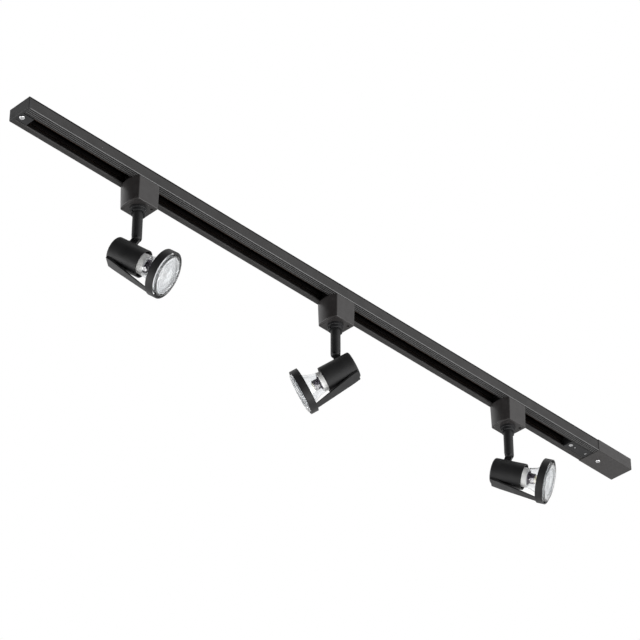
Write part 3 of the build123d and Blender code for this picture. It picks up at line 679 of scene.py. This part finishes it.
def widest(node, number):
    """A node's largest radius about its lamp's axis."""
    inverse = lamp_place(number).inverted()
    return max((inverse @ vertex.co).yz.length for vertex in frame["nodes"][node].data.vertices)


BODY_REAR, FACE = span_along("lamp_shell_1", 1)
LAMP_R = widest("lamp_shell_1", 1)
print("lamp from", round(BODY_REAR, 4), "to", round(FACE, 4), "radius", round(LAMP_R, 4))

# %% [markdown]
# ## The glass body
# A reflector lamp's body is a pressed glass horn that ends in a fluted rim, there to give the
# fingers a grip.  We lathe the horn with a thin wall, then push every second column of the
# rim's vertices inwards, which cuts the flutes without any modelling by hand.

# %% Glass horn with its fluted rim
RIM_LENGTH = 5.5 * MM
GLASS_WALL = 1.3 * MM
HORN_STEPS = 14
FLUTES = 64
FLUTE_DEPTH = 0.4 * MM
COLLAR_R = 13.4 * MM
SWELL_POWER = 1.7
RIM_STEP = 0.6 * MM
LENS_DEPTH = 3.2 * MM


def horn_radius(share):
    """Outer radius of the horn: share 0 at the collar, 1 at the rim."""
    return COLLAR_R + (LAMP_R - RIM_STEP - COLLAR_R) * share ** SWELL_POWER


def horn_profile():
    rim_start = FACE - RIM_LENGTH
    shares = [step / HORN_STEPS for step in range(HORN_STEPS + 1)]
    length = rim_start - BODY_REAR
    outer = [(BODY_REAR + length * share, horn_radius(share)) for share in shares]
    inner = [(along, radius - GLASS_WALL) for along, radius in reversed(outer)]
    rim = [
        (rim_start + 0.4 * MM, LAMP_R - 0.1 * MM),
        (rim_start + 1.0 * MM, LAMP_R),
        (FACE - 1.0 * MM, LAMP_R),
        (FACE - 0.3 * MM, LAMP_R - 0.3 * MM),
        (FACE, LAMP_R - 1.0 * MM),
        (FACE, LAMP_R - 2.9 * MM),
        (FACE - LENS_DEPTH, LAMP_R - 3.0 * MM),
    ]
    return outer + rim + inner


def cut_flutes(bm):
    """Draw in alternate columns of the rim, leaving its front edge round."""
    low, high = FACE - RIM_LENGTH + 0.3 * MM, FACE - 0.8 * MM
    for vertex in bm.verts:
        radius = vertex.co.yz.length
        if low < vertex.co.x < high and radius > LAMP_R - 0.2 * MM:
            angle = math.atan2(vertex.co.z, vertex.co.y)
            depth = FLUTE_DEPTH * (0.5 - 0.5 * math.cos(angle * FLUTES))
            vertex.co.yz = vertex.co.yz * (1 - depth / radius)


for number in HEADS:
    horn = lathe(horn_profile(), steps=FLUTES * 4)
    cut_flutes(horn)
    piece = keep(horn, f"lamp_horn_{number}", FINISHES["lamp_glass"], f"lamp_{number}",
                 lamp_place(number))
    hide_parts(f"lamp_shell_{number}")
print("horn faces", len(piece.data.polygons))

# %% [markdown]
# ## The front lens
# The lens steps down from the rim to a faceted field around a smooth dome over the light
# source.  The facets are ridges that run outwards: the ring vertices go up and down around
# the circle, more at the middle of the field than at its borders.

# %% Faceted lens with a dome
LENS_R = LAMP_R - 3.05 * MM
FIELD_R = 0.78 * LENS_R
DOME_R = 0.37 * LENS_R
FACETS = 30
FACET_DEPTH = 0.35 * MM
FIELD_RINGS = 6
DOME_RINGS = 6
FIELD_RISE = 0.5 * MM
DOME_RISE = 1.05 * MM


def lens_profile():
    back_face = FACE - LENS_DEPTH
    field = FACE - 1.4 * MM
    profile = [(back_face, 0.0), (back_face, LENS_R), (FACE - 0.5 * MM, LENS_R)]
    profile += [(FACE - 0.3 * MM, LENS_R - 0.4 * MM), (FACE - 0.3 * MM, LENS_R - 1.8 * MM)]
    profile += [(FACE - 0.8 * MM, LENS_R - 2.2 * MM), (FACE - 0.8 * MM, FIELD_R + 1.0 * MM)]
    profile += [(FACE - 0.3 * MM, FIELD_R + 0.7 * MM), (FACE - 0.3 * MM, FIELD_R + 0.2 * MM)]
    for ring in range(FIELD_RINGS + 1):
        share = ring / FIELD_RINGS
        radius = FIELD_R + (DOME_R - FIELD_R) * share
        profile.append((field + FIELD_RISE * share ** 2, radius))
    for ring in range(1, DOME_RINGS + 1):
        angle = ring / DOME_RINGS * math.pi / 2
        along = field + FIELD_RISE + DOME_RISE * math.sin(angle)
        profile.append((along, DOME_R * math.cos(angle)))
    return profile


def press_facets(bm):
    """Sink the field's vertices in waves around the circle, least at its borders."""
    middle = (FIELD_R + DOME_R) / 2
    reach = (FIELD_R - DOME_R) / 2
    for vertex in bm.verts:
        radius = vertex.co.yz.length
        if vertex.co.x > FACE - 2.0 * MM and abs(radius - middle) < reach * 0.99:
            angle = math.atan2(vertex.co.z, vertex.co.y)
            wave = abs((angle * FACETS / math.tau) % 1.0 - 0.5) * 2
            fade = 1 - (abs(radius - middle) / reach) ** 4
            vertex.co.x -= FACET_DEPTH * wave * fade


for number in HEADS:
    lens = lathe(lens_profile(), steps=FACETS * 6)
    press_facets(lens)
    piece = keep(lens, f"lamp_front_{number}", FINISHES["lamp_lens_clear"], f"lamp_{number}",
                 lamp_place(number), sharp=25.0)
    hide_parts(f"lamp_lens_{number}")
print("lens faces", len(piece.data.polygons))

# %% [markdown]
# ## Inside the lamp
# Through the glass one sees a dark ribbed module and the small pale light source that sits on
# its front.  They are sealed in, so they have no engineered part of their own, and they ride
# with the lamp.

# %% LED module and light source
MODULE_R = 6.8 * MM
MODULE_LENGTH = 9.0 * MM
MODULE_RIBS = 3
SOURCE_GAP = 0.05 * MM


def led_module():
    """Dark turned block with shallow ribs, standing on the lamp's base."""
    start, end = BODY_REAR + 0.2 * MM, BODY_REAR + MODULE_LENGTH
    pitch = (end - start) / (MODULE_RIBS + 1)
    profile = [(start, 0.0), (start, MODULE_R * 1.25), (start + 0.8 * MM, MODULE_R * 1.25)]
    profile.append((start + 1.0 * MM, MODULE_R))
    for rib in range(1, MODULE_RIBS + 1):
        along = start + rib * pitch
        profile += [
            (along, MODULE_R), (along + 0.2 * MM, MODULE_R - 0.6 * MM),
            (along + 0.8 * MM, MODULE_R - 0.6 * MM), (along + 1.0 * MM, MODULE_R),
        ]
    profile += [(end - 0.4 * MM, MODULE_R), (end, MODULE_R - 0.4 * MM), (end, 0.0)]
    return lathe(profile, steps=64)


def light_source():
    """Low stepped disc that stands just in front of the module."""
    rear = BODY_REAR + MODULE_LENGTH + SOURCE_GAP
    return lathe([
        (rear, 0.0), (rear, 5.2 * MM), (rear + 0.5 * MM, 5.2 * MM),
        (rear + 0.8 * MM, 4.0 * MM), (rear + 1.1 * MM, 3.4 * MM), (rear + 1.2 * MM, 0.0),
    ], steps=48)


for number in HEADS:
    place, body = lamp_place(number), f"lamp_{number}"
    keep(led_module(), f"lamp_module_{number}", LED_FINISH, body, place)
    keep(light_source(), f"lamp_source_{number}", PHOSPHOR_FINISH, body, place)
print("module", round(MODULE_LENGTH, 4), "long in each of", len(HEADS), "lamps")
